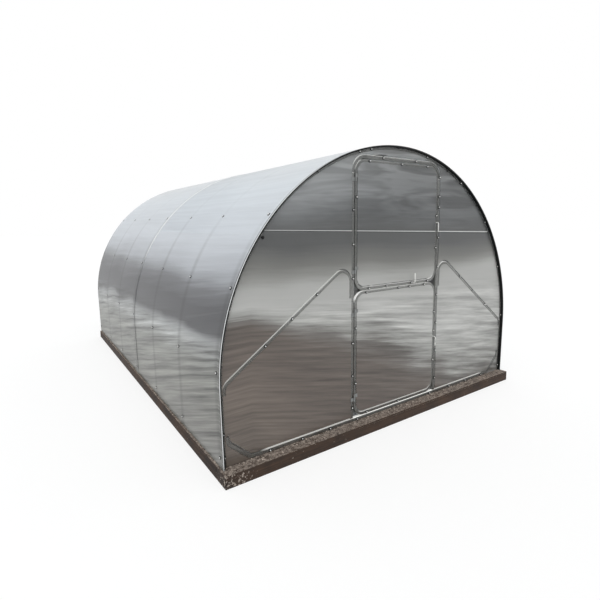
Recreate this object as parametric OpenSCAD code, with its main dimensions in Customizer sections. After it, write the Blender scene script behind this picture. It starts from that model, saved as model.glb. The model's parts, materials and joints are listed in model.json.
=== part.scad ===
// Arched greenhouse: bent steel tube, twin-wall polycarbonate sheet, timber base.
// Millimetres. X runs across the front, Y from the front to the back, Z up.
// The origin is on the ground in the middle of the plan, and the door faces -Y.
// Heights named "above the base" are measured from the top of the timber.

/* [House] */
// Length over the outer faces of the first and last arch
house_length = 4000; // [3200:10:5200]
// Outer radius of the bent arches
arch_radius = 1495.5; // [1300:0.5:1800]
// Height of the arch centre above the base
spring_height = 527; // [400:1:900]
// Lean of the arch legs, inwards at the foot, in degrees
leg_lean = 1.34; // [0.5:0.01:3]
// Square tube of the arches, the sills and the door hoop
frame_tube = 25; // [20:0.5:40]
// Square tube of the purlins and the ground rails
purlin_tube = 20; // [15:0.5:30]
// Slope of the side purlins above the arch centre, in degrees
purlin_angles = [4, 36.5];

/* [Timber base] */
// Height of the timber base
timber_height = 85; // [50:1:200]
// Width of each timber beam
timber_width = 120; // [120:1:200]
// Timber showing in front of the front arch
front_ledge = 87; // [60:1:120]
// Timber showing behind the back arch
back_ledge = 13; // [5:1:25]
// Timber showing outside the arch feet
side_ledge = 21; // [10:1:60]

/* [Sheet] */
// Thickness of the twin-wall sheet
sheet_thickness = 4; // [3:0.5:10]
// Roof sheet standing out past the front and back arch
roof_overhang = 28; // [10:1:60]
// Overlap of the two roof sheets at the middle arch
roof_lap = 60; // [40:1:120]

/* [Door] */
// Clear width between the door posts
opening_width = 914; // [700:1:1000]
// Sideways place of the door from the middle of the house
door_offset = 24; // [0:1:60]
// Gap between the corners of the door hoop and the arch round them
hoop_clearance = 0.66; // [0.5:0.01:5]
// Outer corner radius of the door hoop
hoop_corner = 130; // [60:1:160]
// Gap between a leaf and the hoop, at the sides and the top
door_gap = 8; // [6:0.5:12]
// Gap between the lower leaf and the sill, and between the two leaves
leaf_gap = 6; // [6:0.5:12]
// Height above the base of the gap between the two leaves
leaf_split = 974; // [700:1:1200]
// Square tube of the leaves
leaf_tube = 20; // [15:0.5:25]
// Outer corner radius of the leaves
leaf_corner = 90; // [50:1:120]

/* [Hinges] */
// Height of one hinge
hinge_height = 50; // [30:1:80]
// Radius of the hinge knuckles
knuckle_radius = 6; // [5:0.5:8]
// Radius of the hinge pins
hinge_pin_radius = 3; // [2:0.5:4]
// Reach of a hinge plate from the pin
hinge_plate = 32; // [20:1:40]
// Thickness of the hinge plates
hinge_plate_thickness = 2.5; // [1.5:0.5:3]
// Middle of each hinge of the lower leaf, from the lower and the upper end of the leaf
lower_hinge_ends = [154, 151];
// Middle of each hinge of the upper leaf, from the lower and the upper end of the leaf
upper_hinge_ends = [153, 130];

/* [Latches and stay] */
// Radius of the bent latch rods
latch_rod_radius = 4; // [3:0.5:6]
// Length of the levers of a latch
latch_lever = 76; // [50:1:100]
// Bend radius of the latch rods
latch_bend = 10; // [8:1:16]
// Outer lever in front of the leaf's sheet
latch_reach = 24; // [15:1:40]
// Height of the upper latch above the base
upper_latch_height = 1460; // [1200:1:1700]
// Height of the lower latch above the base
lower_latch_height = 505; // [300:1:800]
// Sideways place of the middle latch from the middle of the house
middle_latch_x = 190; // [0:1:350]
// Distance of the stay hook from the left door post
stay_from_post = 242; // [150:1:400]
// Length of the stay hook from its pin to the crown of its curl
stay_length = 125; // [80:1:200]

/* [Braces and sills] */
// Square tube of the corner braces
brace_tube = 20; // [15:0.5:25]
// Height above the base where a brace's slope meets the line of its tail
brace_head_height = 1195; // [1000:1:1300]
// Height above the base where a brace's slope meets the line of its foot
brace_foot_height = 507; // [400:1:700]
// Lower end of a brace's tail above the base
brace_tail_height = 930; // [800:1:1000]
// Lower end of a brace's foot above the base
brace_end_height = 450; // [300:1:460]
// Bend radius at the head of a brace
brace_head_bend = 75; // [50:1:90]
// Bend radius at the foot of a brace and in the sills
foot_bend = 60; // [40:1:90]
// Rise of the sloping ends of the sills
sill_rise = 175; // [120:1:220]
// Width of the sloping ends of the sills
sill_slope_width = 155; // [140:1:260]

/* [Hidden] */
arch_count = 7;
// Clearance at a seat, where one piece lies on another
seat = 0.3;
// Radial clearance of a pin in its bore
pin_clearance = 0.3;
// Facets of a full circle on the big arcs, and steps in a bend and in a wall's arc
round_fn = 360;
bend_steps = 16;
wall_steps = 120;

// Plan: the house is set back so that the whole plan is centred on the origin
plan_shift = (front_ledge - roof_overhang) / 2;
front_y = plan_shift - house_length / 2;
back_y = plan_shift + house_length / 2;
base_z = timber_height;
centre_z = base_z + spring_height;
timber_half = foot_x(arch_radius) + side_ledge;
foot_inner_x = foot_x(arch_radius - frame_tube);

// Door
door_x = door_offset;
post_in_l = door_x - opening_width / 2;
post_in_r = door_x + opening_width / 2;
post_out_l = post_in_l - frame_tube;
post_out_r = post_in_r + frame_tube;
leaf_l = post_in_l + door_gap;
leaf_r = post_in_r - door_gap;
sill_top = base_z + frame_tube;
// The hoop's corner on the wider side lies hoop_clearance inside the arch
hoop_z = centre_z + hoop_corner
  + sqrt(pow(arch_radius - frame_tube - hoop_clearance - hoop_corner, 2) - pow(post_out_r - hoop_corner, 2));
header_z = hoop_z - frame_tube;
lower_leaf_z = [sill_top + leaf_gap, base_z + leaf_split - leaf_gap / 2];
upper_leaf_z = [base_z + leaf_split + leaf_gap / 2, header_z - door_gap];

// End wall sheets lie on the outer faces of the tubes
panel_front_y = front_y - seat - sheet_thickness;
panel_back_y = back_y + seat;
panel_radius = arch_radius - 0.5;

// Hinge axis: in the gap beside the left post, in front of the sheets
hinge_x = post_in_l + door_gap / 2;
hinge_y = panel_front_y - knuckle_radius;
knuckle_height = (hinge_height - seat) / 2;
lower_hinge_z = [lower_leaf_z[0] + lower_hinge_ends[0], lower_leaf_z[1] - lower_hinge_ends[1]];
upper_hinge_z = [upper_leaf_z[0] + upper_hinge_ends[0], upper_leaf_z[1] - upper_hinge_ends[1]];

// Latches: one lever in front of the leaf, the other behind the posts
latch_front_y = panel_front_y - latch_reach;
latch_back_y = front_y + frame_tube + latch_rod_radius + 9;
latch_x = leaf_r - leaf_tube / 2;
latch_bore_radius = latch_rod_radius + pin_clearance;
middle_latch_z = upper_leaf_z[0] + leaf_tube / 2;

// Braces
brace_tail_l = post_out_l - seat - brace_tube / 2;
brace_tail_r = post_out_r + seat + brace_tube / 2;
brace_foot_x = leg_inner_x(brace_end_height) - seat - brace_tube / 2;

// Stay hook on the left brace
stay_pin_radius = 3;
stay_rod_radius = 2.5;
stay_curl = 10;
stay_eye = 7;
stay_eye_thickness = 4;
stay_x = post_out_l - stay_from_post;
stay_z = base_z + brace_head_height
  - (brace_tail_l - stay_x) * (brace_head_height - brace_foot_height) / (brace_tail_l + brace_foot_x);
stay_y = front_y + brace_tube + 6;

// Half width of an arch line of radius r at the top of the timber
function foot_x(r) = r * cos(leg_lean) - (spring_height - r * sin(leg_lean)) * tan(leg_lean);
// Inner face of the arch legs at a height above the base, taken at its narrowest
function leg_inner_x(h) = foot_x(arch_radius - frame_tube) + h * tan(leg_lean);
// Middle of arch i in Y
function arch_y(i) = front_y + (house_length - frame_tube) * (i - 1) / (arch_count - 1);
function unit(v) = v / norm(v);
function turn(a, b) = atan2(a[0] * b[1] - a[1] * b[0], a[0] * b[0] + a[1] * b[1]);

// Straight bar from p to q in the XZ plane, w across, from y to y + depth
module bar(p, q, w, y, depth) {
  d = q - p;
  translate([p[0], y, p[1]])
    rotate([0, -atan2(d[1], d[0]), 0])
      translate([0, 0, -w / 2])
        cube([norm(d), depth, w]);
}

// Arc of square section about c in the XZ plane, r at the middle of the section
module arc(c, r, a0, sweep, w, y, depth) {
  translate([c[0], y + depth, c[1]])
    rotate([90, 0, 0])
      rotate([0, 0, a0])
        rotate_extrude(angle = sweep, $fn = round_fn)
          translate([r - w / 2, 0])
            square([w, depth]);
}

// Points along an arc about c, from angle a0 to a1
function arc_points(c, r, a0, a1, steps) =
  [for (k = [0 : steps]) c + r * [cos(a0 + (a1 - a0) * k / steps), sin(a0 + (a1 - a0) * k / steps)]];
// One side of a bent tube: the path moved sideways by shift, with round corners
function side_points(path, radii, shift) = [
  for (i = [0 : len(path) - 1])
    let (d_in = unit(path[max(i, 1)] - path[max(i, 1) - 1]),
         d_out = i < len(path) - 1 ? unit(path[i + 1] - path[i]) : d_in,
         angle = turn(d_in, d_out))
      each i == 0 || i == len(path) - 1
        ? [path[i] + shift * [-d_in[1], d_in[0]]]
        : let (side = angle > 0 ? 1 : -1,
               r = radii[i - 1],
               start = path[i] - d_in * r * tan(abs(angle) / 2),
               centre = start + side * r * [-d_in[1], d_in[0]],
               a0 = atan2(d_in[1], d_in[0]) - side * 90)
            arc_points(centre, r - side * shift, a0, a0 + angle, bend_steps)
];

// Slab with its outline in the XZ plane, from y to y + depth
module slab(points, y, depth) {
  translate([0, y + depth, 0])
    rotate([90, 0, 0])
      linear_extrude(depth)
        polygon(points);
}

// Bent square tube along a path in the XZ plane, with one bend radius per corner
module bent_tube(path, radii, w, y) {
  left = side_points(path, radii, w / 2);
  right = side_points(path, radii, -w / 2);
  slab(concat(left, [for (i = [len(right) - 1 : -1 : 0]) right[i]]), y, w);
}

// Arch-shaped band: arc and two leaning legs, r_in to r_in + w, from y to y + depth
module arch_band(r_in, w, y, depth, foot_z) {
  inner = wall_foot(r_in, foot_z);
  outer = wall_foot(r_in + w, foot_z);
  slab(concat(
    [inner], wall_arc(r_in, -leg_lean, 180 + leg_lean), [[-inner[0], inner[1]], [-outer[0], outer[1]]],
    wall_arc(r_in + w, 180 + leg_lean, -leg_lean), [outer]
  ), y, depth);
}

// Outline of an end wall of radius r, from angle a0 to a1 round the arch
function wall_arc(r, a0, a1) = arc_points([0, centre_z], r, a0, a1, wall_steps);
// Foot of an arch outline of radius r, at height z
function wall_foot(r, z) = [foot_x(r) + (z - base_z) * tan(leg_lean), z];

// Quarter disc about c in the XZ plane, starting at angle a0
module quarter(c, r, a0, y, depth) {
  translate([c[0], y + depth, c[1]])
    rotate([90, 0, 0])
      rotate([0, 0, a0])
        rotate_extrude(angle = 90, $fn = 96)
          square([r, depth]);
}

// Slab from corner a to corner b in the XZ plane with rounded corners
module rounded_slab(a, b, r, y, depth) {
  translate([a[0], y, a[1] + r])
    cube([b[0] - a[0], depth, b[1] - a[1] - 2 * r]);
  for (z = [a[1], b[1] - r])
    translate([a[0] + r, y, z])
      cube([b[0] - a[0] - 2 * r, depth, r]);
  quarter([b[0] - r, b[1] - r], r, 0, y, depth);
  quarter([a[0] + r, b[1] - r], r, 90, y, depth);
  quarter([a[0] + r, a[1] + r], r, 180, y, depth);
  quarter([b[0] - r, a[1] + r], r, 270, y, depth);
}

// Cylinder along Y from y0 to y1
module rod_y(x, z, r, y0, y1) {
  translate([x, y0, z])
    rotate([-90, 0, 0])
      cylinder(r = r, h = y1 - y0, $fn = 48);
}

module steel() { color([0.72, 0.74, 0.74]) children(); }
module sheet() { color([0.62, 0.65, 0.66, 0.6]) children(); }
module timber() { color([0.27, 0.2, 0.15]) children(); }

module beam(a, b) {
  timber() translate([a[0], a[1], 0]) cube([b[0] - a[0], b[1] - a[1], timber_height]);
}

front_beam_y = front_y - front_ledge + timber_width;
back_beam_y = back_y + back_ledge - timber_width;
module base_front() { beam([-timber_half, front_y - front_ledge], [timber_half, front_beam_y]); }
module base_back() { beam([-timber_half, back_beam_y], [timber_half, back_y + back_ledge]); }
module base_left() {
  beam([-timber_half, front_beam_y], [-timber_half + timber_width, back_beam_y]);
}
module base_right() {
  beam([timber_half - timber_width, front_beam_y], [timber_half, back_beam_y]);
}

// Sill: a straight tube on the timber whose ends slope up to the arch legs
module sill(y) {
  mid = base_z + frame_tube / 2;
  end_x = foot_inner_x - seat - frame_tube / 2;
  top = mid + sill_rise;
  steel() bent_tube([
    [-end_x, top], [-end_x, top - 40], [-end_x + sill_slope_width, mid],
    [end_x - sill_slope_width, mid], [end_x, top - 40], [end_x, top]
  ], [foot_bend, foot_bend, foot_bend, foot_bend], frame_tube, y);
}

module ground_rail(side) {
  x = foot_inner_x - seat - purlin_tube;
  y0 = front_y + frame_tube + seat;
  steel()
    translate([side > 0 ? x : -x - purlin_tube, y0, base_z])
      cube([purlin_tube, back_y - frame_tube - seat - y0, purlin_tube]);
}

module arch(i) {
  steel() arch_band(arch_radius - frame_tube, frame_tube, arch_y(i), frame_tube, base_z);
}

// Purlin inside the arches, at an angle above the arch centre from +X
module purlin(angle) {
  steel()
    translate([0, 0, centre_z])
      rotate([0, -angle, 0])
        translate([arch_radius - frame_tube - seat - purlin_tube, front_y, -purlin_tube / 2])
          cube([purlin_tube, house_length, purlin_tube]);
}

// Door hoop: posts up to the bends, and a header with the two bends
module post(x) {
  steel()
    translate([x, front_y, sill_top])
      cube([frame_tube, frame_tube, hoop_z - hoop_corner - sill_top]);
}

module hoop_arch(y, foot) {
  x0 = post_out_l + frame_tube / 2;
  x1 = post_out_r - frame_tube / 2;
  z = hoop_z - frame_tube / 2;
  r = hoop_corner - frame_tube / 2;
  bend_z = hoop_z - hoop_corner;
  bar([x0 + r, z], [x1 - r, z], frame_tube, y, frame_tube);
  arc([x0 + r, bend_z], r, 90, 90, frame_tube, y, frame_tube);
  arc([x1 - r, bend_z], r, 0, 90, frame_tube, y, frame_tube);
  if (foot > 0)
    for (x = [post_out_l, post_in_r])
      translate([x, y, foot]) cube([frame_tube, frame_tube, bend_z - foot]);
}

module door_header() { steel() hoop_arch(front_y, 0); }
module back_hoop() { steel() hoop_arch(back_y - frame_tube, sill_top); }

// Corner brace: tail beside the post, slope, and foot beside the arch leg
module brace(side, y) {
  tail = side < 0 ? brace_tail_l : brace_tail_r;
  foot = side * brace_foot_x;
  steel() bent_tube([
    [tail, base_z + brace_tail_height], [tail, base_z + brace_head_height],
    [foot, base_z + brace_foot_height], [foot, base_z + brace_end_height]
  ], [brace_head_bend, foot_bend], brace_tube, y);
}

module brace_front_left() {
  brace(-1, front_y);
  // pin that carries the stay hook
  steel() {
    rod_y(stay_x, stay_z, stay_pin_radius, front_y + brace_tube - 2, stay_y + stay_eye_thickness + 2);
    rod_y(stay_x, stay_z, 2 * stay_pin_radius, stay_y + stay_eye_thickness + 1,
          stay_y + stay_eye_thickness + 4);
  }
}

// Front wall sheet beside the door, on one side, up to where the header starts
module front_wall(side) {
  opening_x = side < 0 ? post_in_l : post_in_r;
  r = hoop_corner - frame_tube;
  split_x = opening_x - side * r;
  foot = wall_foot(panel_radius, base_z + seat);
  sheet() slab(concat(
    [[side * foot[0], foot[1]]],
    side < 0
      ? wall_arc(panel_radius, 180 + leg_lean, acos(split_x / panel_radius))
      : wall_arc(panel_radius, -leg_lean, acos(split_x / panel_radius)),
    side < 0
      ? arc_points([split_x, header_z - r], r, 90, 180, bend_steps)
      : arc_points([split_x, header_z - r], r, 90, 0, bend_steps),
    [[opening_x, foot[1]]]
  ), panel_front_y, sheet_thickness);
}
module front_panel_over_door() {
  x0 = post_in_l + hoop_corner - frame_tube;
  x1 = post_in_r - hoop_corner + frame_tube;
  sheet() slab(concat(
    [[x1, header_z]],
    wall_arc(panel_radius, acos(x1 / panel_radius), acos(x0 / panel_radius)),
    [[x0, header_z]]
  ), panel_front_y, sheet_thickness);
}
module back_panel() {
  foot = wall_foot(panel_radius, base_z + seat);
  sheet() slab(concat(
    [foot],
    wall_arc(panel_radius, -leg_lean, 180 + leg_lean),
    [[-foot[0], foot[1]]]
  ), panel_back_y, sheet_thickness);
}

// Roof sheets: the front one laps over the back one at the middle arch
lap_front_y = plan_shift - roof_lap / 2;
joggle = 4;
roof_radius = arch_radius + seat;
module roof_sheet_front() {
  y0 = front_y - roof_overhang;
  step_y = lap_front_y - joggle - 1;
  foot = base_z + 1;
  sheet() {
    arch_band(roof_radius, sheet_thickness, y0, step_y - y0, foot);
    arch_band(roof_radius, 2 * sheet_thickness + seat, step_y, joggle, foot);
    arch_band(roof_radius + sheet_thickness + seat, sheet_thickness, step_y + joggle, roof_lap + 1, foot);
  }
}
module roof_sheet_back() {
  sheet()
    arch_band(roof_radius, sheet_thickness, lap_front_y, back_y + roof_overhang - lap_front_y, base_z + 1);
}

// Door leaf: bent tube frame, sheet on its face, bores for its latch rods
module leaf_frame(z) {
  difference() {
    rounded_slab([leaf_l, z[0]], [leaf_r, z[1]], leaf_corner, front_y, leaf_tube);
    rounded_slab([leaf_l + leaf_tube, z[0] + leaf_tube], [leaf_r - leaf_tube, z[1] - leaf_tube],
                 leaf_corner - leaf_tube, front_y - 1, leaf_tube + 2);
  }
}
module latch_bore(x, z) {
  rod_y(x, z, latch_bore_radius, panel_front_y - 5, front_y + leaf_tube + 5);
}
module leaf_slab(z) {
  rounded_slab([leaf_l, z[0]], [leaf_r, z[1]], leaf_corner, panel_front_y, sheet_thickness);
}
module lower_leaf_frame() {
  steel() difference() {
    leaf_frame(lower_leaf_z);
    latch_bore(latch_x, base_z + lower_latch_height);
  }
}
module lower_leaf_sheet() {
  sheet() difference() {
    leaf_slab(lower_leaf_z);
    latch_bore(latch_x, base_z + lower_latch_height);
  }
}
module upper_leaf_frame() {
  steel() difference() {
    leaf_frame(upper_leaf_z);
    latch_bore(latch_x, base_z + upper_latch_height);
    latch_bore(middle_latch_x, middle_latch_z);
  }
}
module upper_leaf_sheet() {
  sheet() difference() {
    leaf_slab(upper_leaf_z);
    latch_bore(latch_x, base_z + upper_latch_height);
    latch_bore(middle_latch_x, middle_latch_z);
  }
}

// Hinge halves about the pin: the fixed half is below and holds the pin
module hinge_flap(side, z) {
  x = side > 0 ? 0 : -hinge_plate;
  translate([hinge_x + x, panel_front_y - seat - hinge_plate_thickness, z])
    cube([hinge_plate, hinge_plate_thickness, knuckle_height]);
}
module fixed_half(z) {
  low = z - hinge_height / 2;
  translate([hinge_x, hinge_y, low]) {
    cylinder(r = knuckle_radius, h = knuckle_height, $fn = 48);
    cylinder(r = hinge_pin_radius, h = hinge_height, $fn = 48);
  }
  hinge_flap(-1, low);
}
module moving_half(z) {
  low = z - hinge_height / 2 + knuckle_height + seat;
  difference() {
    union() {
      translate([hinge_x, hinge_y, low])
        cylinder(r = knuckle_radius, h = knuckle_height, $fn = 48);
      hinge_flap(1, low);
    }
    translate([hinge_x, hinge_y, low - 1])
      cylinder(r = hinge_pin_radius + pin_clearance, h = knuckle_height + 2, $fn = 48);
  }
}
module door_hinge_plates() {
  steel() for (z = concat(lower_hinge_z, upper_hinge_z)) fixed_half(z);
}
module lower_leaf_hinges() { steel() for (z = lower_hinge_z) moving_half(z); }
module upper_leaf_hinges() { steel() for (z = upper_hinge_z) moving_half(z); }

// Quarter bend of a rod in the YZ plane, from straight up to the -Y or +Y side
module rod_bend(y, side) {
  translate([0, y, -latch_bend])
    rotate([90, 0, side * 90])
      rotate_extrude(angle = 90, $fn = 48)
        translate([latch_bend, 0])
          circle(r = latch_rod_radius, $fn = 48);
}
// Latch: one rod bent down at both ends, turning in its bore; up flips the levers
module latch(x, z, up) {
  steel()
    translate([x, 0, z])
      rotate([0, up ? 180 : 0, 0]) {
        rod_y(0, 0, latch_rod_radius, latch_front_y + latch_bend, latch_back_y - latch_bend);
        rod_bend(latch_front_y + latch_bend, -1);
        rod_bend(latch_back_y - latch_bend, 1);
        for (y = [latch_front_y, latch_back_y])
          translate([0, y, -latch_lever])
            cylinder(r = latch_rod_radius, h = latch_lever - latch_bend, $fn = 48);
      }
}
module upper_latch() { latch(latch_x, base_z + upper_latch_height, false); }
module lower_latch() { latch(latch_x, base_z + lower_latch_height, false); }
module middle_latch() { latch(middle_latch_x, middle_latch_z, true); }

// Stay hook: eye on its pin, straight rod, curled end
module stay_hook() {
  mid_y = stay_y + stay_eye_thickness / 2;
  rod_end = stay_z - stay_length + stay_curl;
  steel() {
    difference() {
      union() {
        rod_y(stay_x, stay_z, stay_eye, stay_y, stay_y + stay_eye_thickness);
        translate([stay_x, mid_y, rod_end])
          cylinder(r = stay_rod_radius, h = stay_z - stay_eye + 1 - rod_end, $fn = 32);
      }
      rod_y(stay_x, stay_z, stay_pin_radius + pin_clearance, stay_y - 1, stay_y + stay_eye_thickness + 1);
    }
    translate([stay_x - stay_curl, mid_y, rod_end])
      rotate([90, 0, 0])
        rotate([0, 0, 180])
          rotate_extrude(angle = 180, $fn = 48)
            translate([stay_curl, 0])
              circle(r = stay_rod_radius, $fn = 32);
  }
}

base_front();
base_back();
base_left();
base_right();
sill(front_y);  // sill_front
sill(back_y - frame_tube);  // sill_back
ground_rail(-1);  // ground_rail_left
ground_rail(1);  // ground_rail_right
for (i = [1 : arch_count])
  arch(i);
purlin(90);  // ridge_purlin
purlin(180 - purlin_angles[1]);  // purlin_upper_left
purlin(purlin_angles[1]);  // purlin_upper_right
purlin(180 - purlin_angles[0]);  // purlin_lower_left
purlin(purlin_angles[0]);  // purlin_lower_right
post(post_out_l);  // door_post_left
post(post_in_r);  // door_post_right
door_header();
back_hoop();
brace_front_left();
brace(1, front_y);  // brace_front_right
brace(-1, back_y - brace_tube);  // brace_back_left
brace(1, back_y - brace_tube);  // brace_back_right
front_wall(-1);  // front_panel_left
front_wall(1);  // front_panel_right
front_panel_over_door();
back_panel();
roof_sheet_front();
roof_sheet_back();
door_hinge_plates();
lower_leaf_frame();
lower_leaf_sheet();
lower_leaf_hinges();
upper_leaf_frame();
upper_leaf_sheet();
upper_leaf_hinges();
upper_latch();
middle_latch();
lower_latch();
stay_hook();
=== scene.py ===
"""Arched greenhouse: finishes, sheets, timber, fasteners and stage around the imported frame."""
import json
import math
import random

import bpy
from bpy.props import FloatProperty, FloatVectorProperty, IntProperty, PointerProperty
from mathutils import Matrix, Quaternion, Vector

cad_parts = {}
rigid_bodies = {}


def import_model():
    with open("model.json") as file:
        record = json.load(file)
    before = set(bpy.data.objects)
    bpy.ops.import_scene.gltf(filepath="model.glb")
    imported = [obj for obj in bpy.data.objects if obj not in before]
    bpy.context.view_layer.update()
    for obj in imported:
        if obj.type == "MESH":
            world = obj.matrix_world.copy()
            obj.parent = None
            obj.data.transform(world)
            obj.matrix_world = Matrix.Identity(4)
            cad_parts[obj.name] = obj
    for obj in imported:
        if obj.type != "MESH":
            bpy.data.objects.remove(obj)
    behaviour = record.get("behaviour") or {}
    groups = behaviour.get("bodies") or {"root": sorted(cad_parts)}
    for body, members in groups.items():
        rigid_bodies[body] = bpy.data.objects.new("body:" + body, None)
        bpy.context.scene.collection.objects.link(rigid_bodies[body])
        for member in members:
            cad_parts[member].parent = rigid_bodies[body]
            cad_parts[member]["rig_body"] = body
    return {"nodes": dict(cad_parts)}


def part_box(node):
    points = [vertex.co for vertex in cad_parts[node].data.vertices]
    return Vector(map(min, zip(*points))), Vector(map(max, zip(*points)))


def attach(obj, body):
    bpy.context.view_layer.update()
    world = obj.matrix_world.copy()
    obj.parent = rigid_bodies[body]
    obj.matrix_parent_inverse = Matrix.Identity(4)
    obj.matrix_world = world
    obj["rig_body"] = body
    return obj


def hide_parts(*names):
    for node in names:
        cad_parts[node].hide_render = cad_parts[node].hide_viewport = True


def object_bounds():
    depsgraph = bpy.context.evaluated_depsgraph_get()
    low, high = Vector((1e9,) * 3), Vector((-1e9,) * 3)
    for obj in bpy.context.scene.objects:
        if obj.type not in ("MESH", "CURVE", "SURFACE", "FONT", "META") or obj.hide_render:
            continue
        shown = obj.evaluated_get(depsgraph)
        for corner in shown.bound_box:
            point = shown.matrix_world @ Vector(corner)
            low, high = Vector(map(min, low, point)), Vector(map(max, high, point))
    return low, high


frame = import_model()
cad_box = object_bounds()

bl_info = {
    "name": "Arched greenhouse",
    "version": (1, 0, 0),
    "blender": (4, 5, 0),
    "location": "3D View > Sidebar > Greenhouse",
    "description": "Finishes, sheets, timber, fasteners and stage of an arched greenhouse",
    "category": "Object",
}

ARCHES = [f"arch_{i}" for i in range(1, 8)]
HOOP_TUBES = ["door_post_left", "door_post_right", "door_header"]
HOUSE_TUBES = ARCHES + HOOP_TUBES + [
    "back_hoop", "sill_front", "sill_back", "ground_rail_left", "ground_rail_right",
    "ridge_purlin", "purlin_upper_left", "purlin_upper_right",
    "purlin_lower_left", "purlin_lower_right",
    "brace_front_left", "brace_front_right", "brace_back_left", "brace_back_right",
]
LEAF_TUBES = ["lower_leaf_frame", "upper_leaf_frame"]
HINGES = ["door_hinge_plates", "lower_leaf_hinges", "upper_leaf_hinges"]
RODS = ["upper_latch", "middle_latch", "lower_latch", "stay_hook"]

# Arches: where they stand along the house, and the circle that they share (centre height, tube centre radius)
FIRST_ARCH, BAY = -1.958, 0.6625
ARCH_PLACES = [FIRST_ARCH + BAY * i for i in range(len(ARCHES))]
ARCH_CENTRE, ARCH_RADIUS = 0.612, 1.483
ROOF_RADIUS = 1.4998
LEG_LEAN = math.radians(1.34)
FRONT_FACE, BACK_FACE = -1.9748, 2.0338
# the front edge of the upper sheet where the two roof sheets lap
LAP_EDGE = -0.0055
# Each end wall sheet, the tubes that it lies on, and the body that it rides on
WALL_SHEETS = {
    "front_panel_left": (
        ["arch_1", "sill_front", "door_post_left", "door_header", "brace_front_left"], "house"),
    "front_panel_right": (
        ["arch_1", "sill_front", "door_post_right", "door_header", "brace_front_right"], "house"),
    "front_panel_over_door": (["arch_1", "door_header"], "house"),
    "back_panel": (["arch_7", "sill_back", "back_hoop", "brace_back_left", "brace_back_right"], "house"),
    "lower_leaf_sheet": (["lower_leaf_frame"], "lower_leaf"),
    "upper_leaf_sheet": (["upper_leaf_frame"], "upper_leaf"),
}

# Screws of the front wall. Arch screws are degrees round the arch; the others are (x, z) in metres.
ARCH_SCREWS = [100.8, 105.2, 120.5, 139.7, 158.9, 178.0, 77.2, 58.3, 38.8, 20.0, 1.0]
FRONT_SCREWS = [
    (-1.474, 0.299), (-1.470, 0.152), (1.470, 0.138),
    (-0.157, 2.0155), (0.199, 2.0155),
    *((-0.4455, z) for z in (1.641, 1.399, 1.156, 0.683, 0.439, 0.195)),
    *((0.4935, z) for z in (1.91, 1.755, 1.669, 1.421, 1.179, 0.944, 0.704, 0.569, 0.463, 0.221)),
    *((x, 0.0975) for x in (-1.15, -0.896, -0.653, -0.396, 0.434, 0.703, 0.94, 1.187)),
    (-0.766, 1.077), (-0.969, 0.937), (-1.173, 0.791), (0.81, 1.073), (1.009, 0.922), (1.206, 0.773),
]
LEAF_SCREWS = {
    "upper_leaf": [
        (-0.292, 1.985), (0.041, 1.985), (0.335, 1.985), (-0.415, 1.73), (0.463, 1.60), (0.463, 1.338),
        (-0.287, 1.072), (-0.104, 1.072), (0.172, 1.072), (0.368, 1.072),
    ],
    "lower_leaf": [
        (-0.312, 1.046), (0.028, 1.046), (0.155, 1.046), (0.331, 1.046), (-0.415, 0.792), (-0.415, 0.376),
        (0.463, 0.80), (0.463, 0.64), (0.463, 0.387), (-0.298, 0.126), (0.043, 0.126),
    ],
}
# Roof screws: degrees round each arch, and one on each leg, this far below the middle of the arch
ROOF_SCREWS = [2.7, 22.1, 41.6, 90.0, 138.4, 157.9, 177.3]
LEG_SCREW_DROP = 0.425
# the upper sheet lies this much higher on the middle arch, where the two lap
LAP_RISE = 0.0043
# the back wall has no door and no screws nearer to its middle than this
BACK_SCREWS_FROM = 0.55
WASHER_HEIGHT = 0.002

# Painted shade: a black strip under the front overhang. How far its layers lie inside the roof sheet, its
# middle and width along Y
SHADE_STRIP_INSETS = (0.0041, 0.0079)
SHADE_STRIP_MIDDLE, SHADE_STRIP_WIDTH = -1.9869, 0.0232
# Plug on the end of the left upper purlin: its place (x, z), radius and height
PLUG_PLACE, PLUG_RADIUS, PLUG_HEIGHT = (-1.178, 1.468), 0.010, 0.004
# Drying crack of the front beam: its start, how far below the top it runs, its height and how far it wanders
CRACK_START, CRACK_DROP, CRACK_HEIGHT, CRACK_WANDER = -0.45, 0.013, 0.0022, 0.0011

# The painted reflection of a thin line across the front at eye height: its height and half width in the
# middle, slant and growth
LINE_HEIGHT, LINE_HALF, LINE_SLANT, LINE_GROWTH = 1.4835, 0.0034, 0.0243, 0.0014
# The streaks of a sheet flatten below this height, and are moved this far by its bulges
STREAK_TOP, STREAK_LIFT = 1.53, 0.025
# How far bulges and streaks move the bands of tone
BULGE_SHIFT, STREAK_SHIFT = 0.16, 0.10
# Vertices closer than this are one, and a tube is moved out this far to cut its sheet
MERGE, CUT_REACH = 0.00002, 0.012


# ---------------------------------------------------------------- colours and nodes

def colour(hex_code):
    """An sRGB hex value as linear RGBA."""
    parts = [int(hex_code[i:i + 2], 16) / 255 for i in (1, 3, 5)]
    linear = [c / 12.92 if c <= 0.04045 else ((c + 0.055) / 1.055) ** 2.4 for c in parts]
    return (*linear, 1.0)


def toned(tone, share):
    """A linear colour made darker or lighter."""
    return (*[min(c * share, 1.0) for c in tone[:3]], 1.0)


def node(tree, kind, inputs=None, stops=None, **settings):
    """Adds one shader node. An input is a value, an output, or a node that stands for its first output.

    stops are the places and tones of a colour ramp; settings are the node's own."""
    made = tree.nodes.new(f"ShaderNode{kind}")
    for key, value in settings.items():
        setattr(made, key, value)
    for key, value in (inputs or {}).items():
        if isinstance(value, bpy.types.Node):
            value = value.outputs[0]
        if isinstance(value, bpy.types.NodeSocket):
            tree.links.new(value, made.inputs[key])
        else:
            made.inputs[key].default_value = value
    if stops:
        elements = made.color_ramp.elements
        while len(elements) < len(stops):
            elements.new(1.0)
        for element, (place, tone) in zip(elements, stops):
            element.position = place
            element.color = tone
    return made


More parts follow.
